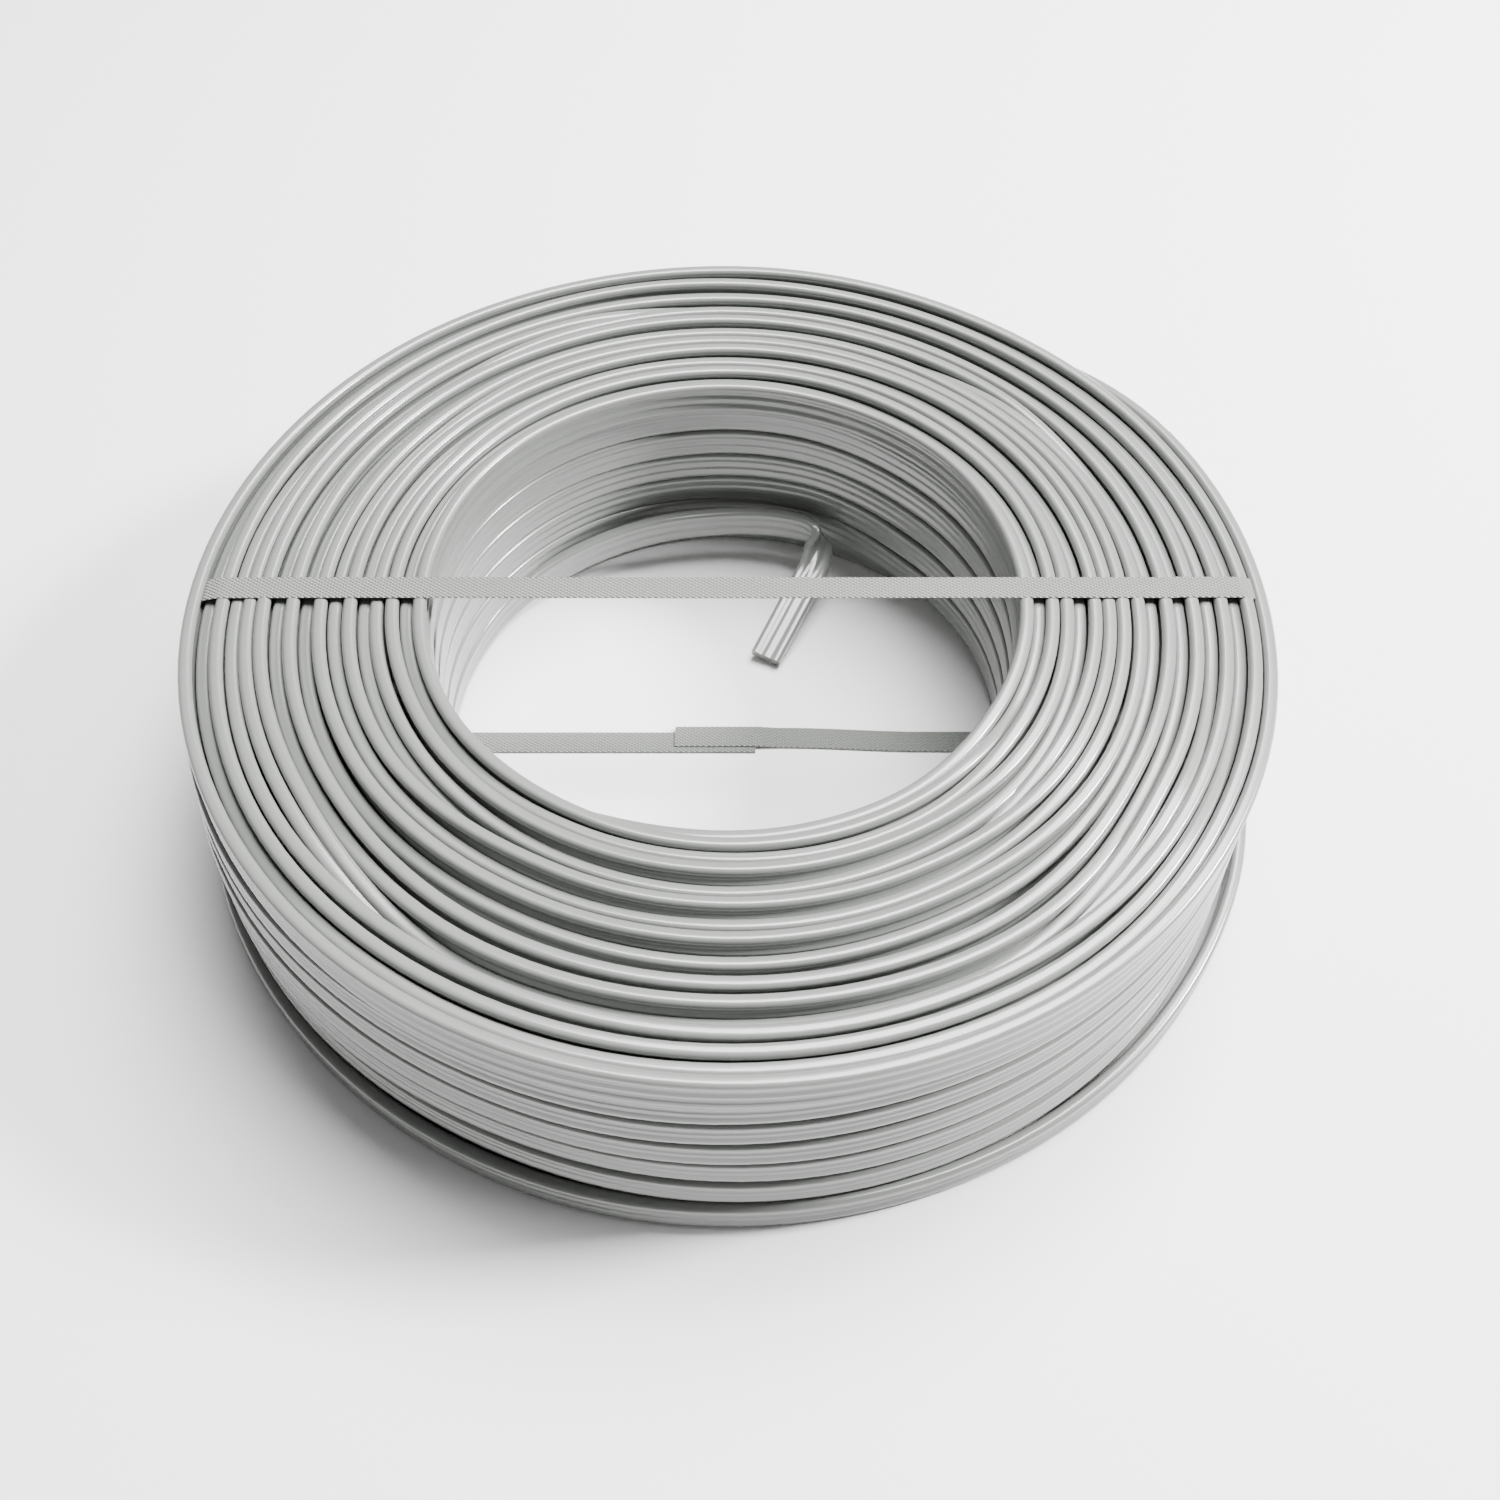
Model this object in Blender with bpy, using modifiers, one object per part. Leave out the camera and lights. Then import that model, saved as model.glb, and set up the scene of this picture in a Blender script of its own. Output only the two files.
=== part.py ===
"""Coil of flat three-core cable, tied across its middle with one plastic strap.

Run it with: blender --background --python part.py
Units are metres and +Z is up. The origin is on the floor, at the middle of the bore.
"""
import math

import bmesh
import bpy
from mathutils import Vector

# The wound coil
OUTER_DIAMETER = 0.345
BORE_DIAMETER = 0.193
ROWS = 7
LAYERS = 17
LOW_LAYER_DROP = 0.0025
END_GROOVE_DEPTH = 0.0034
SIDE_GROOVE_DEPTH = 0.0012
CREST_SHARE = 0.45
LOOSE_TURN_STEP = 0.0025
COIL_STEPS = 36

# The cable
CABLE_WIDTH = 0.0116
CABLE_THICKNESS = 0.0045
CORE_GROOVE_DEPTH = 0.0004
CABLE_POINT_SPACING = 0.004

# The strap
STRAP_WIDTH = 0.009
STRAP_THICKNESS = 0.0007
STRAP_ARC_STEP = math.radians(20)
LAP_LENGTH = 0.029
LAP_MIDDLE = -0.0055
LAP_SIDE_SHIFT = 0.003
CHANNEL_SIDE_CLEARANCE = 0.0004

# Clearance between pieces that touch
GAP = 0.0003

# Sizes that follow from those above
COIL_HEIGHT = ROWS * CABLE_WIDTH
OUTER_RADIUS = OUTER_DIAMETER / 2
BORE_RADIUS = BORE_DIAMETER / 2
CHANNEL_DEPTH = STRAP_THICKNESS + GAP
COIL_FACET_RADIUS = BORE_RADIUS * math.cos(math.pi / COIL_STEPS)
FREE_END_RADIUS = COIL_FACET_RADIUS - GAP - CABLE_THICKNESS / 2

# The free inner end along the bore's wall: angle in degrees, and height of its lower edge
WALL_POINTS = (
    (96, 0.0132),
    (90, 0.0136),
    (84, 0.0140),
    (79, 0.0144),
)
# Then its hook and its straight part down to the floor: angle in degrees, distance in from
# the wall, lean in degrees, and height of its lower edge
HOOK_POINTS = (
    (73.8, 0.0001, 3, 0.0145),
    (70.4, 0.0007, 10, 0.0143),
    (68.2, 0.0023, 28, 0.0139),
    (67.5, 0.0054, 55, 0.0122),
    (67.0, 0.0102, 70, 0.0113),
    (66.8, 0.0158, 80, 0.0101),
    (67.7, 0.0283, 83, 0.0069),
    (68.9, 0.0408, 84, 0.0035),
    (71.0, 0.0534, 85, 0.0),
)


def remove_all_objects():
    """Empty the scene."""
    for item in list(bpy.data.objects):
        bpy.data.objects.remove(item, do_unlink=True)


def make_collection(name, cutters=False):
    """Add a collection; one that holds cutters is left out of renders."""
    collection = bpy.data.collections.new(name)
    bpy.context.scene.collection.children.link(collection)
    collection.hide_render = cutters
    return collection


def make_material(name, color, roughness):
    """Return a plain plastic material."""
    material = bpy.data.materials.new(name)
    material.use_nodes = True
    shader = material.node_tree.nodes["Principled BSDF"]
    shader.inputs["Base Color"].default_value = (*color, 1.0)
    shader.inputs["Roughness"].default_value = roughness
    shader.inputs["Metallic"].default_value = 0.0
    return material


def add_object(name, data, collection, material=None):
    """Link new data to the scene as an object."""
    item = bpy.data.objects.new(name, data)
    collection.objects.link(item)
    if material is not None:
        data.materials.append(material)
    return item


def curve_to_mesh(curve_object, name, collection, material):
    """Replace a curve object by the mesh it shows, with its seams closed."""
    depsgraph = bpy.context.evaluated_depsgraph_get()
    mesh = bpy.data.meshes.new_from_object(curve_object.evaluated_get(depsgraph))
    mesh.name = name
    shell = bmesh.new()
    shell.from_mesh(mesh)
    bmesh.ops.remove_doubles(shell, verts=shell.verts, dist=1e-5)
    bmesh.ops.recalc_face_normals(shell, faces=shell.faces)
    shell.to_mesh(mesh)
    shell.free()
    item = add_object(name, mesh, collection)
    item.matrix_world = curve_object.matrix_world.copy()
    bpy.data.objects.remove(curve_object, do_unlink=True)
    mesh.materials.clear()
    mesh.materials.append(material)
    return item


def add_boolean(item, operation, cutter):
    """Cut or join one solid with another."""
    modifier = item.modifiers.new(operation.title(), "BOOLEAN")
    modifier.operation = operation
    modifier.solver = "EXACT"
    modifier.object = cutter
    cutter.display_type = "WIRE"


def add_box(name, low, high, collection):
    """Add a box between two corners."""
    shell = bmesh.new()
    bmesh.ops.create_cube(shell, size=1.0)
    size = Vector(high) - Vector(low)
    bmesh.ops.scale(shell, vec=size, verts=shell.verts)
    mesh = bpy.data.meshes.new(name)
    shell.to_mesh(mesh)
    shell.free()
    box = add_object(name, mesh, collection)
    box.location = (Vector(low) + Vector(high)) / 2
    return box


def crest_line(start, end, inward, count, groove_depth, drops):
    """Points along one side of the coil's section: a flat crest for each turn, a groove between."""
    start, end, inward = Vector(start), Vector(end), Vector(inward)
    points = []
    for index in range(count):
        if index > 0:
            points.append(start.lerp(end, index / count) + inward * groove_depth)
        for place in (0.5 - CREST_SHARE / 2, 0.5 + CREST_SHARE / 2):
            share = (index + place) / count
            points.append(start.lerp(end, share) + inward * drops[index])
    return points


def coil_section():
    """The coil's section in X and Z: top, outer side from top to bottom, bottom, bore."""
    layer_drops = [0.0] * LAYERS
    for index in range(1, LAYERS - 1, 2):
        layer_drops[index] = LOW_LAYER_DROP
    outer_drops = [0.0] * (ROWS - 1) + [-LOOSE_TURN_STEP]
    bore_drops = [0.0] * ROWS
    top = crest_line(
        (BORE_RADIUS, COIL_HEIGHT), (OUTER_RADIUS, COIL_HEIGHT), (0, -1),
        LAYERS, END_GROOVE_DEPTH, layer_drops)
    outer = crest_line(
        (OUTER_RADIUS, COIL_HEIGHT), (OUTER_RADIUS, 0), (-1, 0),
        ROWS, SIDE_GROOVE_DEPTH, outer_drops)
    bottom = crest_line(
        (OUTER_RADIUS, 0), (BORE_RADIUS, 0), (0, 1),
        LAYERS, END_GROOVE_DEPTH, layer_drops[::-1])
    bore = crest_line(
        (BORE_RADIUS, 0), (BORE_RADIUS, COIL_HEIGHT), (1, 0),
        ROWS, SIDE_GROOVE_DEPTH, bore_drops)
    return top + outer + bottom + bore


def make_coil(section, collection, cutters, material):
    """Turn the section round Z, and press the strap's channel into the bottom."""
    mesh = bpy.data.meshes.new("cable_coil")
    profile = [(point.x, 0, point.y) for point in section]
    edges = [(index, (index + 1) % len(profile)) for index in range(len(profile))]
    mesh.from_pydata(profile, edges, [])
    coil = add_object("cable_coil", mesh, collection, material)
    screw = coil.modifiers.new("Screw", "SCREW")
    screw.axis = "Z"
    screw.angle = 2 * math.pi
    screw.steps = COIL_STEPS
    screw.render_steps = COIL_STEPS
    screw.use_merge_vertices = True
    screw.merge_threshold = 1e-5
    screw.use_normal_calculate = True
    reach = OUTER_RADIUS + LOOSE_TURN_STEP + CABLE_THICKNESS
    half_width = STRAP_WIDTH / 2 + CHANNEL_SIDE_CLEARANCE
    channel = add_box(
        "strap_channel", (-reach, -half_width, -CHANNEL_DEPTH), (reach, half_width, CHANNEL_DEPTH),
        cutters)
    add_boolean(coil, "DIFFERENCE", channel)
    return coil


def cable_outline():
    """Half the width along Y and half the thickness along X: three cores side by side."""
    end_center = (CABLE_WIDTH - CABLE_THICKNESS) / 2
    half_thickness = CABLE_THICKNESS / 2
    side = []
    for index in range(5):
        groove = CORE_GROOVE_DEPTH if index % 2 else 0.0
        side.append(Vector((half_thickness - groove, end_center * (index / 2 - 1), 0)))
    cap = []
    for index in range(1, 4):
        turn = math.pi * index / 4
        cap.append(Vector((half_thickness * math.cos(turn),
                           end_center + half_thickness * math.sin(turn), 0)))
    upper = side + cap
    return upper + [-point for point in upper]


def add_poly_spline(curve, points, tilts=None, closed=False):
    """Add a spline of straight runs through the points."""
    spline = curve.splines.new("POLY")
    spline.points.add(len(points) - 1)
    for index, point in enumerate(points):
        spline.points[index].co = (point[0], point[1], point[2], 1.0)
        if tilts is not None:
            spline.points[index].tilt = tilts[index]
    spline.use_cyclic_u = closed
    return spline


def smooth_route(points, spacing):
    """Read evenly spaced points from a smooth curve through points of x, y, lift and lean."""
    padded = [points[0] * 2 - points[1]] + points + [points[-1] * 2 - points[-2]]
    route = []
    for before, start, end, after in zip(padded, padded[1:], padded[2:], padded[3:]):
        count = max(1, round((end - start).xyz.length / spacing))
        for step in range(count):
            t = step / count
            route.append(0.5 * (2 * start + (end - before) * t
                                + (2 * before - 5 * start + 4 * end - after) * t ** 2
                                + (3 * start - before - 3 * end + after) * t ** 3))
    route.append(points[-1])
    return route


def free_end_route():
    """The free end's middle line and its lean, from standing on edge to lying flat."""
    plan = []
    wall = [(angle, 0.0, 0, lift) for angle, lift in WALL_POINTS]
    for angle, inset, lean, lift in wall + list(HOOK_POINTS):
        radius = FREE_END_RADIUS - inset
        turn = math.radians(angle)
        plan.append(Vector((
            radius * math.cos(turn), radius * math.sin(turn), lift, math.radians(lean))))
    points = []
    leans = []
    for point in smooth_route(plan, CABLE_POINT_SPACING):
        lean = max(0.0, point.w)
        height = (CABLE_WIDTH - CABLE_THICKNESS) / 2 * math.cos(lean) + CABLE_THICKNESS / 2
        points.append((point.x, point.y, max(0.0, point.z) + height))
        leans.append(lean)
    return points, leans


def make_free_end(collection, cutters, material):
    """Sweep the flat cable's outline along the free end."""
    outline = bpy.data.curves.new("cable_outline", "CURVE")
    outline.dimensions = "2D"
    add_poly_spline(outline, cable_outline(), closed=True)
    outline_object = add_object("cable_outline", outline, cutters)
    curve = bpy.data.curves.new("cable_end", "CURVE")
    curve.dimensions = "3D"
    curve.twist_mode = "Z_UP"
    curve.bevel_mode = "OBJECT"
    curve.bevel_object = outline_object
    curve.use_fill_caps = True
    points, leans = free_end_route()
    add_poly_spline(curve, points, tilts=leans)
    route = add_object("cable_end_route", curve, collection)
    bpy.context.view_layer.update()
    return curve_to_mesh(route, "cable_end", collection, material)


def above(section, level):
    """The section with what lies under the level taken off."""
    kept = []
    for point, following in zip(section, section[1:] + section[:1]):
        if point.y >= level:
            kept.append(point)
        if (point.y - level) * (following.y - level) < 0:
            kept.append(point.lerp(following, (level - point.y) / (following.y - point.y)))
    return kept


def taut_outline(points):
    """The convex outline round the points, anticlockwise: the line a taut strap takes."""
    ordered = sorted((round(point.x, 7), round(point.y, 7)) for point in points)
    halves = []
    for run in (ordered, ordered[::-1]):
        half = []
        for point in run:
            while len(half) > 1:
                first = Vector(half[-1]) - Vector(half[-2])
                second = Vector(point) - Vector(half[-1])
                if first.cross(second) > 1e-12:
                    break
                half.pop()
            half.append(point)
        halves += half[:-1]
    return [Vector(point) for point in halves]


def offset_outline(outline, distance):
    """The outline moved outwards, with an arc round each corner."""
    loop = []
    count = len(outline)
    for index, corner in enumerate(outline):
        before = corner - outline[index - 1]
        after = outline[(index + 1) % count] - corner
        start = math.atan2(-before.x, before.y)
        turn = before.angle(after)
        steps = max(1, math.ceil(turn / STRAP_ARC_STEP))
        for step in range(steps + 1):
            angle = start + turn * step / steps
            loop.append(corner + distance * Vector((math.cos(angle), math.sin(angle))))
    return loop


def make_strap(section, collection, cutters, material):
    """A closed band drawn tight round the coil, with its welded lap in the bore."""
    seat = above(section, CHANNEL_DEPTH)
    seat += [Vector((-point.x, point.y)) for point in seat]
    line = taut_outline(seat)
    curve = bpy.data.curves.new("strap", "CURVE")
    curve.dimensions = "2D"
    curve.fill_mode = "BOTH"
    curve.extrude = STRAP_WIDTH / 2
    for distance in (GAP, GAP + STRAP_THICKNESS):
        loop = [(point.x, point.y, 0) for point in offset_outline(line, distance)]
        add_poly_spline(curve, loop, closed=True)
    band = add_object("strap_band", curve, collection)
    band.rotation_euler = (math.pi / 2, 0, 0)
    bpy.context.view_layer.update()
    strap = curve_to_mesh(band, "strap", collection, material)
    low = (LAP_MIDDLE - LAP_LENGTH / 2, LAP_SIDE_SHIFT - STRAP_WIDTH / 2, STRAP_THICKNESS / 2)
    high = (LAP_MIDDLE + LAP_LENGTH / 2, LAP_SIDE_SHIFT + STRAP_WIDTH / 2, 2 * STRAP_THICKNESS)
    lap = add_box("strap_lap", low, high, cutters)
    add_boolean(strap, "UNION", lap)
    return strap


def build():
    """Build the three pieces."""
    remove_all_objects()
    coil_collection = make_collection("wire_coil")
    cutters = make_collection("cutters", cutters=True)
    sheath = make_material("sheath", (0.66, 0.68, 0.65), 0.42)
    free_end_sheath = make_material("free_end_sheath", (0.66, 0.68, 0.65), 0.42)
    strap_plastic = make_material("strap_plastic", (0.68, 0.71, 0.68), 0.5)
    section = coil_section()
    make_coil(section, coil_collection, cutters, sheath)
    make_free_end(coil_collection, cutters, free_end_sheath)
    make_strap(section, coil_collection, cutters, strap_plastic)


build()
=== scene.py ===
import math

import bmesh
import bpy
import numpy as np
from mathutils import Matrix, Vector


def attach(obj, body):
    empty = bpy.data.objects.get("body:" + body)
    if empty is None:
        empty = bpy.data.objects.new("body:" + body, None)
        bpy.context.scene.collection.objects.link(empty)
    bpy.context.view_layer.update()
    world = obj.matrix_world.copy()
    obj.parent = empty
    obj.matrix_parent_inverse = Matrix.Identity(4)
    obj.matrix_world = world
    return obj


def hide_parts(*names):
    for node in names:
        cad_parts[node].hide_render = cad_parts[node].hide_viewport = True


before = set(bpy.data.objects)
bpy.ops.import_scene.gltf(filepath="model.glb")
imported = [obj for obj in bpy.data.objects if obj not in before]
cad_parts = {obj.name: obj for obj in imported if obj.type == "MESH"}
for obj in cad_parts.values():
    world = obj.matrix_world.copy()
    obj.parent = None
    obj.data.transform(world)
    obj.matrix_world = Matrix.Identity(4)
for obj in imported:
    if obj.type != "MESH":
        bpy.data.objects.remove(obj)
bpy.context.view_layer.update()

# The camera stands in front of the coil and looks down into its bore at 52 degrees,
# a little to the left of the coil's middle in the picture.
camera_data = bpy.data.cameras.new("camera")
camera_data.sensor_width = 36
camera_data.lens = 38.4
camera_data.shift_x = 0.013
camera = bpy.data.objects.new("camera", camera_data)
camera.location = (0, -0.3560, 0.4557)
camera.rotation_euler = (math.radians(90 - 52.28), 0, 0)
bpy.context.scene.collection.objects.link(camera)
bpy.context.scene.camera = camera


# The free inner end: flat three-core cable, a satin PVC sheath over three cores side by side.
# It leaves the bottom turn of the bore, hooks back and twists from its edge onto its flat side.
cable_width = 0.0116
cable_thickness = 0.0045
coil_height = 7 * cable_width
sheath_color = (0.172, 0.180, 0.170, 1)

wall_radius = 0.0965 * math.cos(math.pi / 36) - 0.0003 - cable_thickness / 2
wall_points = ((96, 0.0132), (90, 0.0136), (84, 0.0140), (79, 0.0144))
hook_points = (
    (73.8, 0.0001, 3, 0.0145),
    (70.4, 0.0007, 10, 0.0143),
    (68.2, 0.0023, 28, 0.0139),
    (67.5, 0.0054, 55, 0.0122),
    (67.0, 0.0102, 70, 0.0113),
    (66.8, 0.0158, 80, 0.0101),
    (67.7, 0.0283, 83, 0.0069),
    (68.9, 0.0408, 84, 0.0035),
    (71.0, 0.0534, 85, 0.0),
)


def free_end_line(spacing):
    """Even points along the free end, and its lean at each of them."""
    plan = []
    wall = [(angle, 0, 0, lift) for angle, lift in wall_points]
    for angle, inset, lean, lift in wall + list(hook_points):
        turn = math.radians(angle)
        radius = wall_radius - inset
        plan.append((radius * math.cos(turn), radius * math.sin(turn), lift, math.radians(lean)))
    plan = np.array(plan)
    plan = np.vstack([2 * plan[0] - plan[1], plan, 2 * plan[-1] - plan[-2]])
    line = []
    for before, start, end, after in zip(plan, plan[1:], plan[2:], plan[3:]):
        count = max(1, round(np.linalg.norm((end - start)[:3]) / spacing))
        for t in np.arange(count) / count:
            line.append(0.5 * (2 * start + (end - before) * t
                               + (2 * before - 5 * start + 4 * end - after) * t ** 2
                               + (3 * start - before - 3 * end + after) * t ** 3))
    line = np.array(line + [plan[-2]])
    lean = np.maximum(line[:, 3], 0)
    height = (cable_width - cable_thickness) / 2 * np.cos(lean) + cable_thickness / 2
    return np.column_stack([line[:, :2], np.maximum(line[:, 2], 0) + height]), lean


def flat_cable_tree():
    """Geometry Nodes that sweep the sheath's three-lobed outline along a curve."""
    tree = bpy.data.node_groups.new("flat_cable", "GeometryNodeTree")
    sockets = {}
    for label, kind in (
            ("Geometry", "NodeSocketGeometry"), ("Width", "NodeSocketFloat"),
            ("Thickness", "NodeSocketFloat"), ("Groove Depth", "NodeSocketFloat"),
            ("Groove Width", "NodeSocketFloat"), ("Corner", "NodeSocketFloat"),
            ("Outline Points", "NodeSocketInt"),
            ("Sheath", "NodeSocketMaterial")):
        sockets[label] = tree.interface.new_socket(label, in_out="INPUT", socket_type=kind)
    tree.interface.new_socket("Geometry", in_out="OUTPUT", socket_type="NodeSocketGeometry")
    nodes, links = tree.nodes, tree.links
    given = nodes.new("NodeGroupInput")
    result = nodes.new("NodeGroupOutput")

    def math_node(operation, first, second=None):
        node = nodes.new("ShaderNodeMath")
        node.operation = operation
        for index, value in enumerate((first, second)):
            if isinstance(value, (int, float)):
                node.inputs[index].default_value = value
            elif value is not None:
                links.new(value, node.inputs[index])
        return node.outputs[0]

    outline = nodes.new("GeometryNodeCurvePrimitiveQuadrilateral")
    links.new(given.outputs["Thickness"], outline.inputs["Width"])
    links.new(given.outputs["Width"], outline.inputs["Height"])
    rounded = nodes.new("GeometryNodeFilletCurve")
    rounded.mode = "POLY"
    rounded.inputs["Count"].default_value = 8
    links.new(outline.outputs["Curve"], rounded.inputs["Curve"])
    links.new(given.outputs["Corner"], rounded.inputs["Radius"])
    even = nodes.new("GeometryNodeResampleCurve")
    links.new(rounded.outputs["Curve"], even.inputs["Curve"])
    links.new(given.outputs["Outline Points"], even.inputs["Count"])

    place = nodes.new("GeometryNodeInputPosition")
    parts = nodes.new("ShaderNodeSeparateXYZ")
    links.new(place.outputs[0], parts.inputs[0])
    core_pitch = math_node("MULTIPLY", math_node(
        "SUBTRACT", given.outputs["Width"], given.outputs["Thickness"]), 0.5)
    from_groove = math_node("SUBTRACT", math_node("ABSOLUTE", parts.outputs["Y"]),
                            math_node("MULTIPLY", core_pitch, 0.5))
    spread = math_node("DIVIDE", from_groove, given.outputs["Groove Width"])
    dip = math_node("EXPONENT", math_node("MULTIPLY", math_node("MULTIPLY", spread, spread), -1))
    sunk = math_node("MULTIPLY", math_node("MULTIPLY", dip, given.outputs["Groove Depth"]),
                     math_node("SIGN", parts.outputs["X"]))
    moved = nodes.new("ShaderNodeCombineXYZ")
    links.new(math_node("SUBTRACT", parts.outputs["X"], sunk), moved.inputs["X"])
    links.new(parts.outputs["Y"], moved.inputs["Y"])
    lobed = nodes.new("GeometryNodeSetPosition")
    links.new(even.outputs["Curve"], lobed.inputs["Geometry"])
    links.new(moved.outputs[0], lobed.inputs["Position"])

    def store(geometry, label, value):
        node = nodes.new("GeometryNodeStoreNamedAttribute")
        node.data_type = "FLOAT"
        node.domain = "POINT"
        node.inputs["Name"].default_value = label
        links.new(geometry, node.inputs["Geometry"])
        links.new(value, node.inputs["Value"])
        return node.outputs["Geometry"]

    length = nodes.new("GeometryNodeSplineParameter")
    path = store(given.outputs["Geometry"], "along", length.outputs["Length"])
    profile = store(lobed.outputs["Geometry"], "across", parts.outputs["Y"])
    sweep = nodes.new("GeometryNodeCurveToMesh")
    sweep.inputs["Fill Caps"].default_value = True
    links.new(path, sweep.inputs["Curve"])
    links.new(profile, sweep.inputs["Profile Curve"])
    real = nodes.new("GeometryNodeRealizeInstances")
    links.new(sweep.outputs["Mesh"], real.inputs["Geometry"])
    sides = nodes.new("GeometryNodeInputMeshFaceNeighbors")
    is_side = math_node("LESS_THAN", sides.outputs["Vertex Count"], 5)
    smooth = nodes.new("GeometryNodeSetShadeSmooth")
    links.new(is_side, smooth.inputs["Selection"])
    links.new(real.outputs["Geometry"], smooth.inputs["Geometry"])
    finish = nodes.new("GeometryNodeSetMaterial")
    links.new(smooth.outputs["Geometry"], finish.inputs["Geometry"])
    links.new(given.outputs["Sheath"], finish.inputs["Material"])
    links.new(finish.outputs["Geometry"], result.inputs["Geometry"])
    return tree, sockets


flat_cable, cable_sockets = flat_cable_tree()


def wound_cable(name, points, leans, sheath, width=cable_width, thickness=cable_thickness,
                outline_points=36, groove_depth=0.0005, corner=0.0013):
    """A closed mesh of the flat cable laid along points, leaning outwards by leans."""
    curve = bpy.data.curves.new(name, "CURVE")
    curve.dimensions = "3D"
    curve.twist_mode = "Z_UP"
    spline = curve.splines.new("POLY")
    spline.points.add(len(points) - 1)
    spline.points.foreach_set("co", np.column_stack([points, np.ones(len(points))]).ravel())
    spline.points.foreach_set("tilt", np.asarray(leans, float))
    route = bpy.data.objects.new(name + "_route", curve)
    bpy.context.scene.collection.objects.link(route)
    modifier = route.modifiers.new("flat cable", "NODES")
    modifier.node_group = flat_cable
    for label, value in (
            ("Width", width), ("Thickness", thickness), ("Groove Depth", groove_depth),
            ("Groove Width", 0.0011), ("Corner", corner), ("Outline Points", outline_points),
            ("Sheath", sheath)):
        modifier[cable_sockets[label].identifier] = value
    depsgraph = bpy.context.evaluated_depsgraph_get()
    mesh = bpy.data.meshes.new_from_object(route.evaluated_get(depsgraph))
    mesh.name = name
    bpy.data.objects.remove(route)
    shell = bmesh.new()
    shell.from_mesh(mesh)
    bmesh.ops.remove_doubles(shell, verts=shell.verts, dist=1e-6)
    bmesh.ops.recalc_face_normals(shell, faces=shell.faces)
    shell.to_mesh(mesh)
    shell.free()
    piece = bpy.data.objects.new(name, mesh)
    bpy.context.scene.collection.objects.link(piece)
    return piece


def sheath_finish_group():
    """Extruded PVC: soft clouding, drawn lines along the cable and a faint orange peel."""
    group = bpy.data.node_groups.new("sheath_finish", "ShaderNodeTree")
    for label, kind, value in (
            ("Color", "NodeSocketColor", sheath_color), ("Clouding", "NodeSocketFloat", 0.05),
            ("Roughness", "NodeSocketFloat", 0.26), ("Line Depth", "NodeSocketFloat", 0.05)):
        socket = group.interface.new_socket(label, in_out="INPUT", socket_type=kind)
        socket.default_value = value
    for label, kind in (("Color", "NodeSocketColor"), ("Roughness", "NodeSocketFloat"),
                        ("Normal", "NodeSocketVector")):
        group.interface.new_socket(label, in_out="OUTPUT", socket_type=kind)
    nodes, links = group.nodes, group.links
    given = nodes.new("NodeGroupInput")
    result = nodes.new("NodeGroupOutput")
    place = nodes.new("ShaderNodeTexCoord")
    cloud = nodes.new("ShaderNodeTexNoise")
    cloud.inputs["Scale"].default_value = 28
    cloud.inputs["Detail"].default_value = 3
    links.new(place.outputs["Object"], cloud.inputs["Vector"])
    along = nodes.new("ShaderNodeAttribute")
    along.attribute_name = "along"
    across = nodes.new("ShaderNodeAttribute")
    across.attribute_name = "across"
    drawn = nodes.new("ShaderNodeCombineXYZ")
    links.new(along.outputs["Fac"], drawn.inputs["X"])
    stretch = nodes.new("ShaderNodeMath")
    stretch.operation = "MULTIPLY"
    stretch.inputs[1].default_value = 160
    links.new(across.outputs["Fac"], stretch.inputs[0])
    links.new(stretch.outputs[0], drawn.inputs["Y"])
    lines = nodes.new("ShaderNodeTexNoise")
    lines.inputs["Scale"].default_value = 9
    lines.inputs["Detail"].default_value = 2
    links.new(drawn.outputs[0], lines.inputs["Vector"])
    peel = nodes.new("ShaderNodeTexNoise")
    peel.inputs["Scale"].default_value = 420
    peel.inputs["Detail"].default_value = 2
    links.new(place.outputs["Object"], peel.inputs["Vector"])

    shade = nodes.new("ShaderNodeMapRange")
    shade.inputs["From Min"].default_value = 0.3
    shade.inputs["From Max"].default_value = 0.7
    links.new(cloud.outputs["Fac"], shade.inputs["Value"])
    lowest = nodes.new("ShaderNodeMath")
    lowest.operation = "SUBTRACT"
    lowest.inputs[0].default_value = 1
    links.new(given.outputs["Clouding"], lowest.inputs[1])
    links.new(lowest.outputs[0], shade.inputs["To Min"])
    tint = nodes.new("ShaderNodeVectorMath")
    tint.operation = "SCALE"
    links.new(given.outputs["Color"], tint.inputs[0])
    links.new(shade.outputs["Result"], tint.inputs["Scale"])
    links.new(tint.outputs[0], result.inputs["Color"])

    gloss = nodes.new("ShaderNodeMath")
    gloss.operation = "MULTIPLY_ADD"
    gloss.inputs[1].default_value = 0.05
    links.new(lines.outputs["Fac"], gloss.inputs[0])
    links.new(given.outputs["Roughness"], gloss.inputs[2])
    links.new(gloss.outputs[0], result.inputs["Roughness"])

    relief = nodes.new("ShaderNodeBump")
    relief.inputs["Distance"].default_value = 0.0004
    links.new(given.outputs["Line Depth"], relief.inputs["Strength"])
    links.new(lines.outputs["Fac"], relief.inputs["Height"])
    fine = nodes.new("ShaderNodeBump")
    fine.inputs["Distance"].default_value = 0.0002
    fine.inputs["Strength"].default_value = 0.10
    links.new(peel.outputs["Fac"], fine.inputs["Height"])
    links.new(relief.outputs["Normal"], fine.inputs["Normal"])
    links.new(fine.outputs["Normal"], result.inputs["Normal"])
    return group


sheath_finish = sheath_finish_group()


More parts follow.
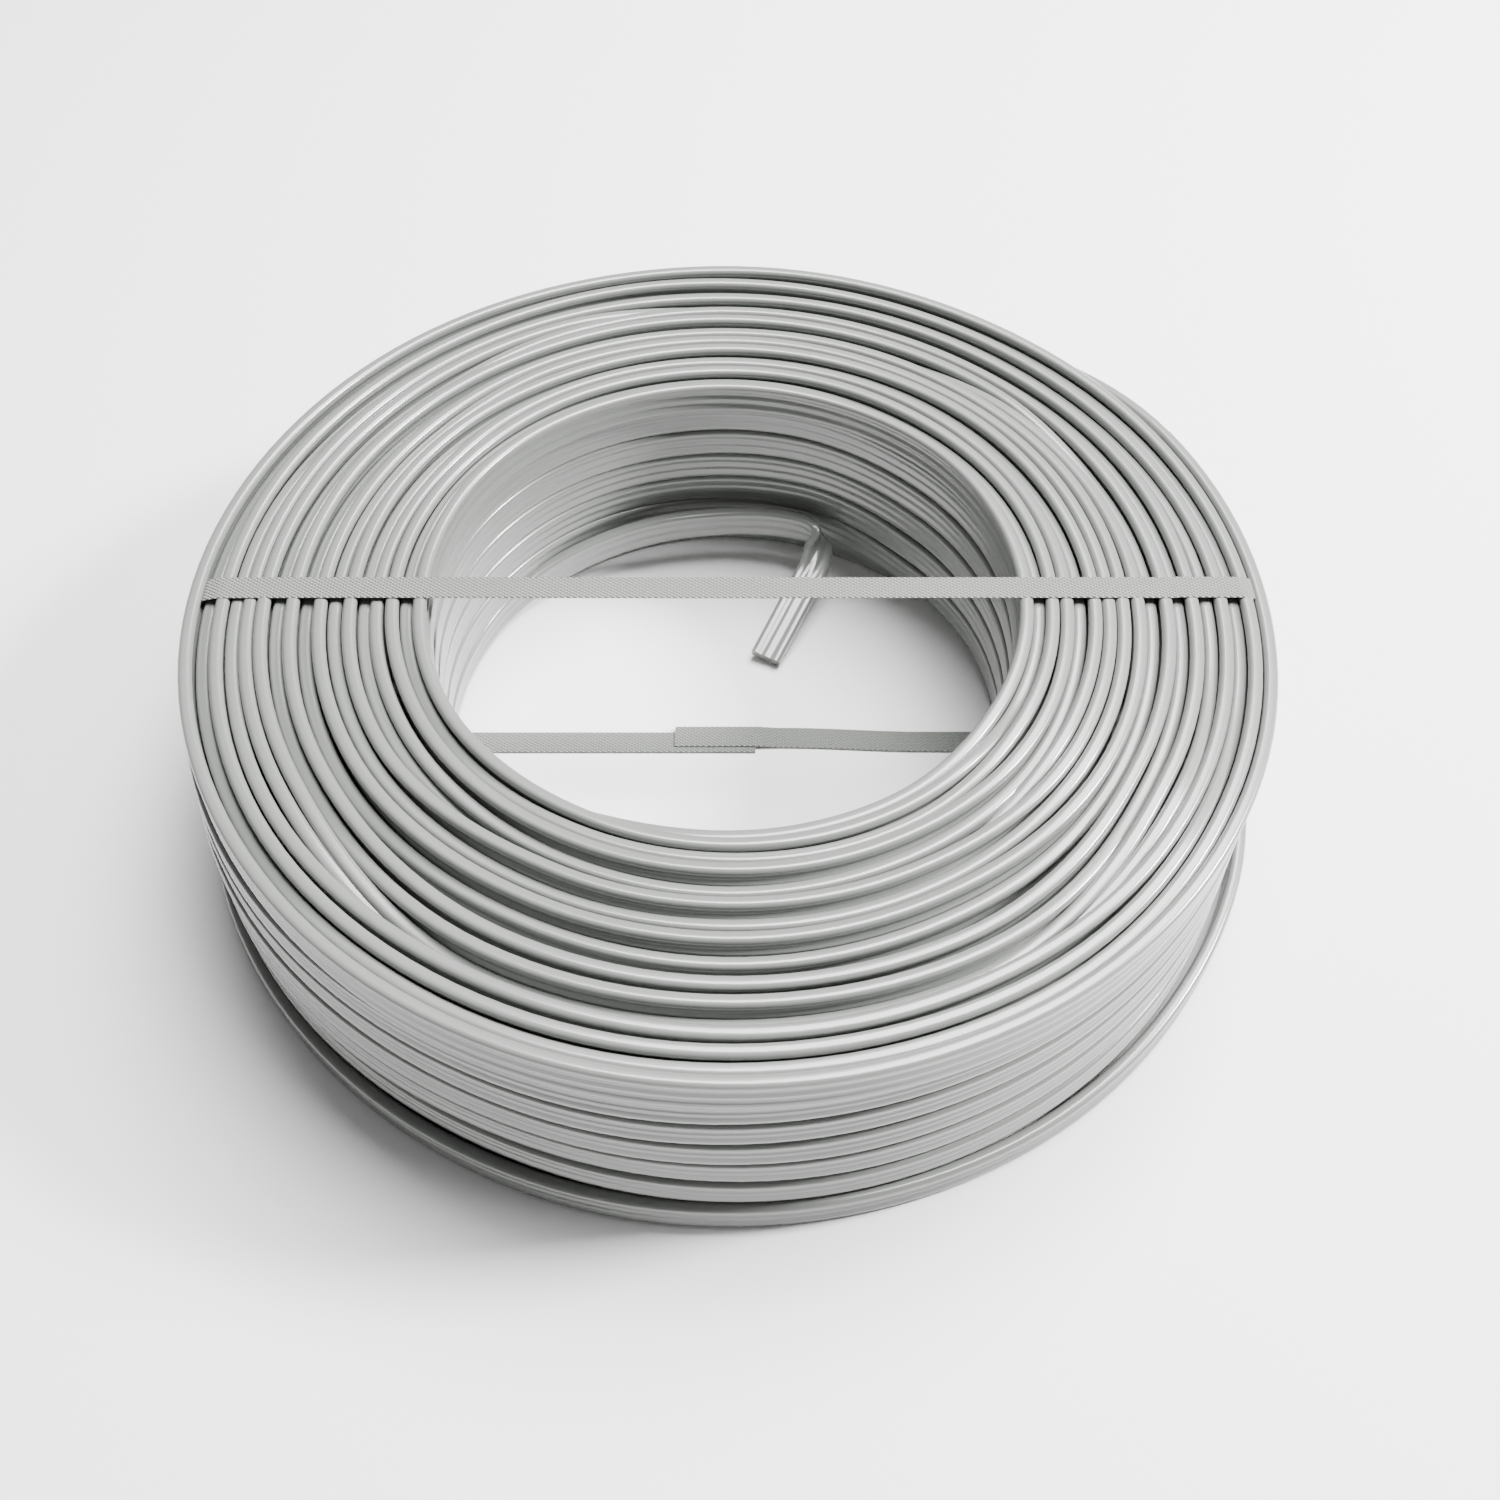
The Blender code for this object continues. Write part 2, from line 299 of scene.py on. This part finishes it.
def sheath_material(name, color=sheath_color, roughness=0.26):
    """A PVC sheath in one colour."""
    material = bpy.data.materials.new(name)
    material.use_nodes = True
    nodes, links = material.node_tree.nodes, material.node_tree.links
    shader = nodes["Principled BSDF"]
    shader.inputs["Coat Weight"].default_value = 0.8
    shader.inputs["Coat Roughness"].default_value = 0.14
    finish = nodes.new("ShaderNodeGroup")
    finish.node_tree = sheath_finish
    finish.inputs["Color"].default_value = color
    finish.inputs["Roughness"].default_value = roughness
    links.new(finish.outputs["Color"], shader.inputs["Base Color"])
    links.new(finish.outputs["Roughness"], shader.inputs["Roughness"])
    links.new(finish.outputs["Normal"], shader.inputs["Normal"])
    return material


coil_sheath = sheath_material("coil_sheath")
free_end_points, free_end_leans = free_end_line(0.0011)
free_end = wound_cable("free_end", free_end_points, free_end_leans, coil_sheath)
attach(free_end, "root")
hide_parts("cable_end")


# The bore's wall and the top row: one stretch of the same cable, which starts at the free end.
# It climbs the bore on edge in five and a half tight turns, and from there seventeen turns
# spiral out to the rim, laid with less pull, so stretches sank between their neighbours.
def level_step(x):
    """0 to 1, level at both ends."""
    x = np.clip(x, 0, 1)
    return x * x * (3 - 2 * x)


def round_ring(angle, places, values):
    """A smooth closed curve through values set at angles round the ring, in degrees."""
    places = np.asarray(places, float)
    values = np.asarray(values, float)
    places = np.concatenate([places[-2:] - 360, places, places[:3] + 360])
    values = np.concatenate([values[-2:], values, values[:3]])
    slopes = np.gradient(values, places)
    angle = (np.asarray(angle, float) - places[2]) % 360 + places[2]
    index = np.clip(np.searchsorted(places, angle, side="right") - 1, 0, len(places) - 2)
    span = places[index + 1] - places[index]
    t = (angle - places[index]) / span
    return ((2 * t ** 3 - 3 * t ** 2 + 1) * values[index]
            + (t ** 3 - 2 * t ** 2 + t) * span * slopes[index]
            + (3 * t ** 2 - 2 * t ** 3) * values[index + 1]
            + (t ** 3 - t ** 2) * span * slopes[index + 1])


def wander(turned, seed, size, shortest=50, longest=260):
    """A gentle uneven swing along the cable; turned is in degrees of winding."""
    random = np.random.default_rng(seed)
    total = np.zeros(len(turned))
    for period in np.geomspace(shortest, longest, 5):
        total += np.sin(np.radians(turned) * 360 / period + random.uniform(0, 2 * math.pi))
    return size * total / 3.2


def laid(angle, radius, height):
    """Points from an angle in degrees, with radius and height in millimetres."""
    turn = np.radians(angle)
    return np.column_stack([radius * np.cos(turn), radius * np.sin(turn), height]) / 1000


def over_strap(points, level):
    """The cable's rise where its lowest turns cross the strap on the floor."""
    near = 1 - level_step((np.abs(points[:, 1]) - 0.006) / 0.010)
    points[:, 2] += 0.0009 * near * np.clip(1 - level, 0, 1)
    return points


ring_places = (-90, -45, 0, 45, 90, 135, 180, 225)
row_height = cable_width * 1000
top_of_coil = coil_height * 1000
start_angle = 75
free_end_angle, free_end_lift = wall_points[0]
tail_span = free_end_angle - start_angle
# Radius of the bore at the top row, and how much further out it lies on the floor, round the ring.
bore_wall = (96.4, 94.8, 95.8, 99.4, 102.9, 104.0, 100.2, 97.4)
bore_recess = (1.0, 1.0, 1.2, 1.6, 1.6, 0.6, 0.6, 0.8)


def bore_level(turned):
    """Row of the bore's wall, 0 on the floor and 6 at the top, after turned degrees.

    Each turn climbs slowly and then steps up on its last 29 degrees.
    """
    turn = np.floor(turned / 360)
    part = turned - 360 * turn
    climb = (0.55 * np.clip(part - tail_span, 0, None) / (360 - tail_span)
             + 0.45 * level_step((part - 331) / 29))
    merge = level_step((part - 145) / 60)
    return climb + turn * (6 - climb) / (6 - merge)


# The top row's turns are numbered from 1 at the rim to 18 at the bore. Their even spiral is the
# rim's radius less so many pitches, both read round the ring.
innermost = 18
turn_numbers = range(1, innermost + 1)
rim_curve = (178.3, 176.1, 173.6, 172.2, 175.75, 177.6, 177.4, 177.8)
pitch_curve = (4.55, 4.56, 4.46, 4.22, 4.29, 4.37, 4.51, 4.59)
# Points along the top row: the turn's number, the angle, and its depth below the rim there.
sunk = (
    (18, -80, 2), (18, -75, 2), (18, -60, 0), (17, -50, 0), (17, -25, 4.5), (17, 270, 4.5),
    (16, -70, 4), (16, -45, 0), (15, 130, 0), (15, 155, 2.2), (15, 270, 2.2), (14, -60, 2.5),
    (14, -35, 5), (14, 270, 5), (13, -65, 5), (13, -35, 0), (12, 120, 0), (12, 145, 3.5),
    (12, 270, 3.2), (11, -75, 2.5), (11, -50, 0), (10, 40, 0), (10, 65, 6), (10, 270, 5.5),
    (9, 20, 5), (9, 45, 0), (8, 115, 0), (8, 140, 4.7), (8, 270, 5), (7, 90, 5), (7, 115, 0),
    (5, -35, 0), (5, -10, 4.5), (5, 150, 4.5), (5, 175, 2), (5, 195, 2), (5, 215, 0),
    (3, -40, 0), (3, -15, 5.5), (3, 215, 5.5), (3, 245, 2.5), (2, -90, 2), (2, -65, 2),
    (2, -40, 0), (1, 30, 0), (1, 60, 3),
)
sunk_places = np.array([(innermost - turn) * 360 + angle + 90 for turn, angle, depth in sunk], float)
sunk_depths = np.array([depth for turn, angle, depth in sunk], float)
# The share of that depth round the ring: least at 0 and 180 degrees, where the strap crosses.
sunk_share = (1.0, 0.8, 0.45, 0.6, 0.65, 0.65, 0.5, 0.8)
# The turns at the front, from 1 to 18: radius of the upper edge, depth, and lean in degrees.
front_tops = (172.7, 168.5, 164.2, 158.4, 156.0, 154.2, 149.4, 143.9, 135.2,
              129.4, 123.7, 118.1, 114.5, 112.5, 107.0, 103.2, 98.5, 95.1)
front_sunk = (0, 2.0, 0, 0, 8.0, 5.0, 0, 0, 3.8, 0, 3.6, 0, 8.0, 3.4, 0, 1.2, 0, 1.5)
front_lean = (5, 3, 0, 0, 0, 8, 10, 6, 12, 17, 15, 17, 10, 15, 17, 15, 12, 8)


def depth_after(turned):
    """How far the top row lies below the rim; turned counts from the innermost turn."""
    index = np.clip(np.searchsorted(sunk_places, turned) - 1, 0, len(sunk_places) - 2)
    span = sunk_places[index + 1] - sunk_places[index]
    step = level_step((turned - sunk_places[index]) / span)
    return sunk_depths[index] * (1 - step) + sunk_depths[index + 1] * step


# Degrees of winding, counted from start_angle, at even steps along the cable.
bore_end = 1940
bore_wound = np.linspace(tail_span, bore_end, 641)
top_wound = np.linspace(bore_end + 3, 8231, 2311)
wound = np.concatenate([bore_wound, top_wound])
bore_part = len(bore_wound)
angle = start_angle + wound

bore_row = np.minimum(bore_level(wound), 6)
leaving = level_step((angle - free_end_angle) / 74)
bore_radius = (round_ring(angle, ring_places, bore_wall)
               + round_ring(angle, ring_places, bore_recess) * (1 - bore_row / 6)
               + wander(wound, 3, 0.35) * leaving)
rise = level_step((angle - free_end_angle) / 56)
bore_radius = wall_radius * 1000 * (1 - rise) + (bore_radius - 2 * (1 - leaving)) * rise
sinking = 1 - level_step((angle - free_end_angle) / 62)
bore_height = (bore_row + 0.5) * row_height + free_end_lift * 1000 * sinking
bore_lean = (-3 + wander(wound, 4, 2)) * leaving

turned = np.maximum(wound - bore_end - 55, -50)
layer = innermost - turned / 360
nearest = np.clip(np.round(layer), 1, innermost)
front = 1 - level_step((np.abs((angle + 90 + 180) % 360 - 180) - 25) / 35)
share = round_ring(angle, ring_places, sunk_share)
depth = depth_after(turned) * share
inner_depth = np.where(turned > 370, depth_after(turned - 360), 0) * share
outer_depth = depth_after(turned + 360) * share
push = 0.10 * (outer_depth - inner_depth)
top_radius = (round_ring(angle, ring_places, rim_curve)
              - layer * round_ring(angle, ring_places, pitch_curve) + push)
front_radius = np.interp(nearest, turn_numbers, front_tops) - (layer - nearest) * 4.55
top_radius += front * (front_radius - top_radius)
front_depth = np.interp(nearest, turn_numbers, front_sunk)
depth += front * (front_depth - depth)
top_lean = np.degrees(np.arcsin(np.clip(push / row_height, -0.6, 0.6)))
top_lean += front * (-np.interp(nearest, turn_numbers, front_lean) - top_lean)
top_lean += wander(wound, 9, 2)
top_radius -= row_height / 2 * np.sin(np.radians(top_lean)) - wander(wound, 7, 0.3)
top_height = top_of_coil - row_height / 2 - depth - 0.25 - wander(wound, 8, 0.25)

rising = level_step((wound - bore_end + 5) / 70)
lean = bore_lean * (1 - rising) + top_lean * rising
radius = bore_radius * (1 - rising) + top_radius * rising
height = bore_height * (1 - rising) + top_height * rising
points = over_strap(laid(angle, radius, height), bore_row)
bore_turns = wound_cable("bore_turns", points[:bore_part], np.radians(lean[:bore_part]),
                         coil_sheath)
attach(bore_turns, "root")
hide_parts("cable_coil")
top_turns = wound_cable("top_turns", points[bore_part - 1:], np.radians(lean[bore_part - 1:]),
                        coil_sheath, thickness=0.00440, groove_depth=0.0009, corner=0.0014)
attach(top_turns, "root")
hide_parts("cable_coil")


# The outer wall: the last layer, whose turns step down one row at the back on every round.
# The lowest ones at the front worked loose and stand a few millimetres proud.
# Radius of the wall round the ring, what each row adds to it at the front and on the left, from
# the floor up, and the loose turn's own radius at its own angles.
outer_face = (175.5, 174.2, 172.6, 169.6, 171.4, 173.6, 174.0, 174.8)
front_bulge = (2.6, 2.6, 1.4, 0.9, 0.0, -0.5, 0.0)
left_bulge = (3.5, 3.5, 4.0, 4.0, 3.0, 2.0, 0.0)
loose_places = (-200, -190, -175, -162, -149, -124, -90, -60, -38, -20, -5, 10, 30, 60)
loose_face = (172.5, 173.0, 178.0, 181.3, 181.0, 181.0, 180.5, 181.3, 181.0, 181.5, 180.0,
              176.5, 172.5, 170.5)
outer_start = 116
step_span = 44
outer_turned = np.linspace(outer_start, outer_start + 6 * 360, 865)
outer_angle = outer_turned - 90
outer_row = 6 - sum(level_step((outer_turned - outer_start - 360 * turn) / step_span)
                    for turn in range(6))


def outer_wall_radius(angle, row):
    """Middle of the outer layer at a row, in millimetres."""
    front = (angle + 75 + 180) % 360 - 180
    left = (angle + 158 + 180) % 360 - 180
    tight = (round_ring(angle, ring_places, outer_face)
             + (1 - level_step(np.abs(front) / 80)) * np.interp(row, range(7), front_bulge)
             + (1 - level_step(np.abs(left) / 50)) * np.interp(row, range(7), left_bulge))
    loose = np.interp((angle + 220) % 360 - 220, loose_places, loose_face)
    return tight + level_step(1 - row) * (loose - tight) - cable_thickness * 1000 / 2


last_top_radius = radius[-1]
handover = level_step((outer_turned - outer_start) / step_span)
outer_radius = ((1 - handover) * last_top_radius
                + handover * outer_wall_radius(outer_angle, outer_row)
                + handover * wander(outer_turned, 12, 0.35))
outer_height = (outer_row + 0.5) * row_height - 0.15
outer_height -= wander(outer_turned, 13, 0.3) * (outer_row > 0.5)
outer_height[:6] += np.linspace(height[-1] - outer_height[0], 0, 6)
outer_lean = np.radians(wander(outer_turned, 14, 2) * handover + lean[-1] * (1 - handover))
outer_points = over_strap(laid(outer_angle, outer_radius, outer_height), outer_row)
outer_turns = wound_cable("outer_turns", outer_points, outer_lean, coil_sheath,
                          width=0.0114, groove_depth=0.0012, corner=0.0017)
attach(outer_turns, "root")
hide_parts("cable_coil")


# The bottom row, on which the coil stands: the same cable on edge, spiralling in to the bore.
# It bears the coil's weight, so it lies flat but for a millimetre here and there.
bottom_rounds = 15.3
bottom_turned = np.linspace(0, bottom_rounds * 360, 1652)
bottom_angle = outer_angle[-1] + bottom_turned
inward = bottom_turned / bottom_turned[-1]
loosened = 1 - level_step(bottom_turned / 540)
bottom_outer = (outer_wall_radius(bottom_angle, 0) * loosened
                + (round_ring(bottom_angle, ring_places, outer_face) - 3.4) * (1 - loosened))
bottom_inner = (round_ring(bottom_angle, ring_places, bore_wall)
                + round_ring(bottom_angle, ring_places, bore_recess) + 4.5)
bottom_radius = (bottom_outer * (1 - inward) + bottom_inner * inward
                 + wander(bottom_turned, 17, 0.3) * level_step(bottom_turned / 40)
                 - 4.0 * level_step((bottom_turned - 15 * 360) / 40))
bottom_height = 0.5 * row_height + np.clip(wander(bottom_turned, 18, 1.0, 90, 700), 0, 1.6)
bottom_height[:12] = 0.5 * row_height
bottom_points = over_strap(laid(bottom_angle, bottom_radius, bottom_height),
                           np.zeros(len(bottom_turned)))
bottom_lean = np.radians(wander(bottom_turned, 19, 2)) * level_step(bottom_turned / 40)
bottom_turns = wound_cable("bottom_turns", bottom_points, bottom_lean, coil_sheath,
                           outline_points=24, corner=0.0016)
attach(bottom_turns, "root")
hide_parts("cable_coil")


# The turns inside the coil, which nothing shows but a dark line between their neighbours:
# one plain ring of the same PVC, turned round the middle, that fills the wound layers.
inside_section = ((0.1075, 0.0125), (0.1630, 0.0125), (0.1630, 0.0620), (0.1055, 0.0620))
ring = bmesh.new()
steps = 96
corners = []
for index in range(steps):
    turn = 2 * math.pi * index / steps
    corners.append([ring.verts.new((radius * math.cos(turn), radius * math.sin(turn), height))
                    for radius, height in inside_section])
for index, corner in enumerate(corners):
    following = corners[(index + 1) % steps]
    for side in range(4):
        ring.faces.new((corner[side], following[side],
                        following[(side + 1) % 4], corner[(side + 1) % 4]))
bmesh.ops.recalc_face_normals(ring, faces=ring.faces)
inside_mesh = bpy.data.meshes.new("inner_layers")
ring.to_mesh(inside_mesh)
ring.free()
inside_mesh.materials.append(sheath_material("inner_sheath", (0.30, 0.31, 0.29, 1), 0.6))
inner_layers = bpy.data.objects.new("inner_layers", inside_mesh)
bpy.context.scene.collection.objects.link(inner_layers)
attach(inner_layers, "root")
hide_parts("cable_coil")


# The strap: one band of embossed polypropylene, drawn tight across the coil's middle, over both
# rims and back along the floor, where its two ends are welded in a lap inside the bore.
strap_width = 0.009
strap_thickness = 0.0007
strap_color = (0.215, 0.225, 0.21, 1)
strap_top = coil_height + 0.0003
strap_corners = (
    (0.1640, strap_top - 0.0002), (0.1685, strap_top - 0.0012), (0.1722, strap_top - 0.0036),
    (0.1741, strap_top - 0.0075), (0.1746, strap_top - 0.0130), (0.1746, 0.0600),
    (0.1746, 0.0300), (0.1746, 0.0120), (0.1738, 0.0060), (0.1714, 0.0018), (0.1670, 0.0),
)
left_side = [(-x, z) for x, z in strap_corners[::-1]]
strap_line = np.array(
    [(0.0090, 0.0), (-0.10, 0.0)] + left_side
    + [(-0.12, strap_top), (-0.06, strap_top - 0.0001), (0.0, strap_top - 0.0002),
       (0.06, strap_top - 0.0001), (0.12, strap_top)]
    + list(strap_corners)
    + [(0.10, 0.0), (0.0170, 0.0), (0.0100, strap_thickness), (-0.0200, strap_thickness)])


def even_line(points, spacing):
    """The line read at even steps, and the length along it at each."""
    lengths = np.concatenate([[0], np.cumsum(np.linalg.norm(np.diff(points, axis=0), axis=1))])
    places = np.linspace(0, lengths[-1], round(lengths[-1] / spacing))
    return np.column_stack([np.interp(places, lengths, points[:, k]) for k in (0, 1)]), places


def embossed_material(name, color):
    """Polypropylene strap with its rolled diamond pattern, whose low parts are darkened as painted
    shade.
    """
    material = bpy.data.materials.new(name)
    material.use_nodes = True
    nodes, links = material.node_tree.nodes, material.node_tree.links
    shader = nodes["Principled BSDF"]
    shader.inputs["Roughness"].default_value = 0.42
    along = nodes.new("ShaderNodeAttribute")
    along.attribute_name = "along"
    across = nodes.new("ShaderNodeAttribute")
    across.attribute_name = "across"

    def math_node(operation, first, second=None):
        node = nodes.new("ShaderNodeMath")
        node.operation = operation
        for index, value in enumerate((first, second)):
            if isinstance(value, (int, float)):
                node.inputs[index].default_value = value
            elif value is not None:
                links.new(value, node.inputs[index])
        return node.outputs[0]

    length = math_node("MULTIPLY", along.outputs["Fac"], math.pi / 0.0020)
    side = math_node("MULTIPLY", across.outputs["Fac"], math.pi / 0.0013)
    first = math_node("ABSOLUTE", math_node("SINE", math_node("ADD", length, side)))
    second = math_node("ABSOLUTE", math_node("SINE", math_node("SUBTRACT", length, side)))
    diamond = math_node("MULTIPLY", first, second)
    relief = nodes.new("ShaderNodeBump")
    relief.inputs["Distance"].default_value = 0.0006
    relief.inputs["Strength"].default_value = 0.8
    links.new(diamond, relief.inputs["Height"])
    links.new(relief.outputs["Normal"], shader.inputs["Normal"])
    # Painted shade: the strap's colour drops to 0.84 of itself in the low parts of the diamond
    # relief, where shade would fall.
    shade = nodes.new("ShaderNodeMix")
    shade.data_type = "RGBA"
    shade.inputs["A"].default_value = tuple(0.84 * part for part in color[:3]) + (1,)
    shade.inputs["B"].default_value = color
    links.new(diamond, shade.inputs["Factor"])
    links.new(shade.outputs["Result"], shader.inputs["Base Color"])
    return material


strap_plastic = embossed_material("strap_plastic", strap_color)


def band(name, points, places, middles, half_width, thickness):
    """A flat band whose outer face follows a line in X and Z, with rounded edges."""
    ahead = np.gradient(points, axis=0)
    ahead /= np.linalg.norm(ahead, axis=1)[:, None]
    outward = np.column_stack([-ahead[:, 1], ahead[:, 0]])
    edge = 0.35 * thickness
    section = [(-half_width, edge), (-half_width + edge, 0)]
    section += [(side, 0) for side in np.linspace(-0.6, 0.6, 5) * half_width]
    section += [(half_width - edge, 0), (half_width, edge), (half_width, thickness - edge),
                (half_width - edge, thickness)]
    section += [(side, thickness) for side in np.linspace(0.6, -0.6, 5) * half_width]
    section += [(-half_width + edge, thickness), (-half_width, thickness - edge)]
    count = len(section)
    corners = []
    marks = []
    for index, point in enumerate(points):
        for side, sink in section:
            spot = point - outward[index] * sink
            corners.append((spot[0], middles[index] + side, spot[1]))
            marks.append((places[index], side))
    faces = [tuple(range(count)), tuple((len(points) - 1) * count + side for side in range(count))]
    for index in range(len(points) - 1):
        for side in range(count):
            after = (side + 1) % count
            faces.append((index * count + side, index * count + after,
                          (index + 1) * count + after, (index + 1) * count + side))
    mesh = bpy.data.meshes.new(name)
    mesh.from_pydata(corners, [], faces)
    mesh.attributes.new("along", "FLOAT", "POINT").data.foreach_set("value", [m[0] for m in marks])
    mesh.attributes.new("across", "FLOAT", "POINT").data.foreach_set("value", [m[1] for m in marks])
    shell = bmesh.new()
    shell.from_mesh(mesh)
    bmesh.ops.recalc_face_normals(shell, faces=shell.faces)
    shell.to_mesh(mesh)
    shell.free()
    mesh.materials.append(strap_plastic)
    piece = bpy.data.objects.new(name, mesh)
    bpy.context.scene.collection.objects.link(piece)
    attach(piece, "root")
    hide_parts("strap")
    return piece


lap_shift = 0.0018
left_run_shift = -0.0003
strap_points, strap_places = even_line(strap_line, 0.002)
from_end = strap_places[-1] - strap_places
strap_middles = lap_shift * (1 - level_step((from_end - 0.04) / 0.05))
strap_middles[from_end > 0.3] = left_run_shift
strap_band = band("strap_band", strap_points, strap_places, strap_middles, strap_width / 2,
                  strap_thickness)


# Floor and light: a pale studio floor under a broad soft light, and a small bright one low on
# the right, which draws the thin highlights along the turns.
floor_mesh = bpy.data.meshes.new("floor")
floor_mesh.from_pydata([(-6, -6, 0), (6, -6, 0), (6, 6, 0), (-6, 6, 0)], [], [(0, 1, 2, 3)])
floor = bpy.data.objects.new("floor", floor_mesh)
bpy.context.scene.collection.objects.link(floor)
floor.location = (0, 0, -0.0002)
pale = bpy.data.materials.new("pale_floor")
pale.use_nodes = True
pale.node_tree.nodes["Principled BSDF"].inputs["Base Color"].default_value = (0.86, 0.86, 0.86, 1)
pale.node_tree.nodes["Principled BSDF"].inputs["Roughness"].default_value = 0.9
floor_mesh.materials.append(pale)


def soft_light(name, place, aim, size, power):
    """A square studio softbox that faces a point."""
    data = bpy.data.lights.new(name, "AREA")
    data.size = size
    data.energy = power
    light = bpy.data.objects.new(name, data)
    light.location = place
    direction = np.array(aim) - np.array(place)
    light.rotation_euler = Vector(direction).to_track_quat("-Z", "Y").to_euler()
    bpy.context.scene.collection.objects.link(light)
    return light


soft_light("overhead", (0.45, 0.6, 1.9), (0, 0, 0.04), 1.3, 155)
soft_light("glint", (1.35, 0.15, 1.1), (0, 0, 0.04), 0.32, 95)
world = bpy.data.worlds.new("studio")
world.use_nodes = True
world.node_tree.nodes["Background"].inputs["Color"].default_value = (1, 1, 1, 1)
world.node_tree.nodes["Background"].inputs["Strength"].default_value = 0.24
bpy.context.scene.world = world
